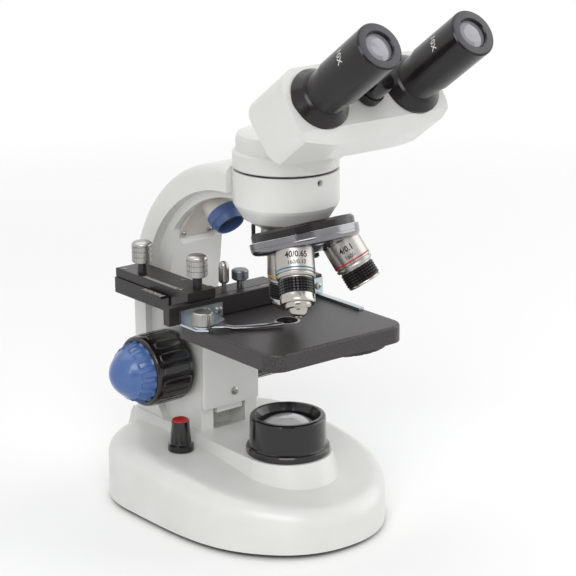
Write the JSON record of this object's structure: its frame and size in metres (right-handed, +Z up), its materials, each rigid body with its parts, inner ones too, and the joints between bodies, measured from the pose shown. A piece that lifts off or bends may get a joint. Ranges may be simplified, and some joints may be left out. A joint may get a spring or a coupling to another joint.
{
  "type": "binocular microscope",
  "caption": "Upright student microscope: inclined binocular head, revolving nosepiece on a curved arm, mechanical stage with rack focus, lamp in an oval base and a second lamp on the arm.",
  "frame": {"origin": "On the optical axis at table level. The optical axis is within 2 mm of the middle of the overall footprint.", "axes": "+Z up along the optical axis, -Y towards the user, +X to the user's right"},
  "size_m": [0.1496, 0.2651, 0.3319],
  "materials": {
    "white_paint": "glossy white enamel on a die casting",
    "black_sheet": "thin black sheet steel",
    "bright_steel": "turned and knurled bright steel",
    "black_rubber": "matte",
    "circuit_board": "white lamp board",
    "black_plastic": "moulded black plastic, satin",
    "clear_glass": "polished optical glass",
    "white_plastic": "moulded white plastic",
    "blue_plastic": "moulded dark blue plastic",
    "red_plastic": "red indicator cap",
    "brass_gib": "machined brass",
    "black_paint": "satin black finish on turned metal",
    "zinc_plate": "zinc-plated sheet steel",
    "stage_black": "fine black texture coat",
    "chrome_plate": "polished chrome plate",
    "satin_chrome": "satin chrome plate"
  },
  "bodies": {
    "stand": {"base_casting": "white_paint", "bottom_plate": "black_sheet", "base_screws": "bright_steel", "rubber_feet": "black_rubber", "dimmer_pot": "bright_steel", "led_board": "circuit_board", "illuminator_collar": "black_plastic", "collector_lens": "clear_glass", "dc_socket": "black_plastic", "arm_casting": "white_paint", "lamp_cover": "white_plastic", "lamp_tube": "white_plastic", "lamp_ring": "blue_plastic", "head_lock_screw": "bright_steel", "slide_guides": "brass_gib", "focus_bushes": "brass_gib", "nosepiece_mount": "black_paint", "turret_bolt": "black_paint", "head_ring": "black_plastic"},
    "dimmer": {"dimmer_knob": "black_plastic", "dimmer_cap": "red_plastic"},
    "stage": {"focus_carriage": "white_paint", "focus_rack": "brass_gib", "stage_bracket": "zinc_plate", "stage_plate": "stage_black", "stop_pin": "bright_steel", "clamp_screw": "bright_steel", "y_rail": "stage_black", "vernier_plate": "zinc_plate", "diaphragm_screw": "bright_steel"},
    "diaphragm": {"diaphragm_disc": "black_plastic"},
    "y_block": {"y_carriage": "stage_black"},
    "y_drive": {"y_knob": "bright_steel"},
    "x_drive": {"x_knob": "bright_steel"},
    "x_carrier": {"x_bar": "stage_black", "left_bracket": "zinc_plate", "right_finger": "zinc_plate", "finger_knob": "bright_steel"},
    "finger": {"spring_finger": "chrome_plate"},
    "coarse": {"coarse_shaft": "bright_steel", "coarse_knob_left": "black_plastic", "coarse_knob_right": "black_plastic"},
    "fine": {"fine_shaft": "bright_steel", "fine_knob_left": "blue_plastic", "fine_knob_right": "blue_plastic"},
    "nosepiece": {"turret": "chrome_plate", "objective_4x": "satin_chrome", "objective_10x": "satin_chrome", "objective_40x": "satin_chrome"},
    "head": {"head_cap": "white_paint", "lower_housing": "white_paint", "upper_housing": "white_paint", "prism_block": "clear_glass"},
    "tube_slide_left": {"tube_left": "black_paint"},
    "tube_slide_right": {"tube_right": "black_paint"},
    "pupil_knob": {"ipd_knob": "black_plastic"},
    "ocular_left": {"eyepiece_left": "black_paint", "eye_lens_left": "clear_glass"},
    "ocular_right": {"eyepiece_right": "black_paint", "eye_lens_right": "clear_glass"}
  },
  "joints": [
    {"name": "focus_slide", "type": "slide", "parent": "stand", "child": "stage", "axis": [0, 0, 1], "range_m": [-0.0135, 0.0006]},
    {"name": "coarse_turn", "type": "hinge", "parent": "stand", "child": "coarse", "pos_m": [0, 0.083, 0.0898], "axis": [1, 0, 0], "range_deg": [-6, 120]},
    {"name": "fine_turn", "type": "hinge", "parent": "coarse", "child": "fine", "pos_m": [0, 0.083, 0.0898], "axis": [1, 0, 0], "continuous": true},
    {"name": "dimmer_turn", "type": "hinge", "parent": "stand", "child": "dimmer", "pos_m": [-0.04249, 0.0554, 0.0425], "axis": [0, 0, 1], "range_deg": [-140, 140]},
    {"name": "diaphragm_turn", "type": "hinge", "parent": "stage", "child": "diaphragm", "pos_m": [0.024, -0.0152, 0.12], "axis": [0, 0, 1], "continuous": true},
    {"name": "y_travel", "type": "slide", "parent": "stage", "child": "y_block", "axis": [0, 1, 0], "range_m": [-0.018, 0]},
    {"name": "y_knob_turn", "type": "hinge", "parent": "y_block", "child": "y_drive", "pos_m": [-0.044, 0.0907, 0.155], "axis": [0, 0, 1], "range_deg": [-292, 5]},
    {"name": "x_travel", "type": "slide", "parent": "y_block", "child": "x_carrier", "axis": [1, 0, 0], "range_m": [-0.03, 0.01]},
    {"name": "x_knob_turn", "type": "hinge", "parent": "y_block", "child": "x_drive", "pos_m": [-0.037, 0.0416, 0.155], "axis": [0, 0, 1], "range_deg": [-482, 164]},
    {"name": "finger_swing", "type": "hinge", "parent": "x_carrier", "child": "finger", "pos_m": [-0.052, 0.016, 0.1355], "axis": [0, 0, 1], "range_deg": [-30, 0], "stiffness_Nm_per_rad": 0.02},
    {"name": "turret_turn", "type": "hinge", "parent": "stand", "child": "nosepiece", "pos_m": [0, 0, 0.2395], "axis": [0, -0.3256, -0.9455], "continuous": true},
    {"name": "head_turn", "type": "hinge", "parent": "stand", "child": "head", "pos_m": [0, 0, 0.23], "axis": [0, 0, 1], "continuous": true},
    {"name": "pupil_left", "type": "slide", "parent": "head", "child": "tube_slide_left", "axis": [1, 0, 0], "range_m": [-0.003, 0.0065]},
    {"name": "pupil_right", "type": "slide", "parent": "head", "child": "tube_slide_right", "axis": [1, 0, 0], "range_m": [-0.0065, 0.003]},
    {"name": "pupil_knob_turn", "type": "hinge", "parent": "head", "child": "pupil_knob", "pos_m": [0, -0.00087, 0.23168], "axis": [0, -0.8141, 0.5807], "range_deg": [-36, 76]},
    {"name": "ocular_left_pull", "type": "slide", "parent": "tube_slide_left", "child": "ocular_left", "axis": [0, -0.8141, 0.5807], "range_m": [0, 0.012]},
    {"name": "ocular_right_pull", "type": "slide", "parent": "tube_slide_right", "child": "ocular_right", "axis": [0, -0.8141, 0.5807], "range_m": [0, 0.012]}
  ],
  "couplings": [
    {"joint": "coarse_turn", "follows": "focus_slide", "rad_per_m": -153.85},
    {"joint": "y_knob_turn", "follows": "y_travel", "rad_per_m": 277.78},
    {"joint": "x_knob_turn", "follows": "x_travel", "rad_per_m": 277.78},
    {"joint": "pupil_right", "follows": "pupil_left", "ratio": -1},
    {"joint": "pupil_knob_turn", "follows": "pupil_left", "rad_per_m": 200}
  ]
}
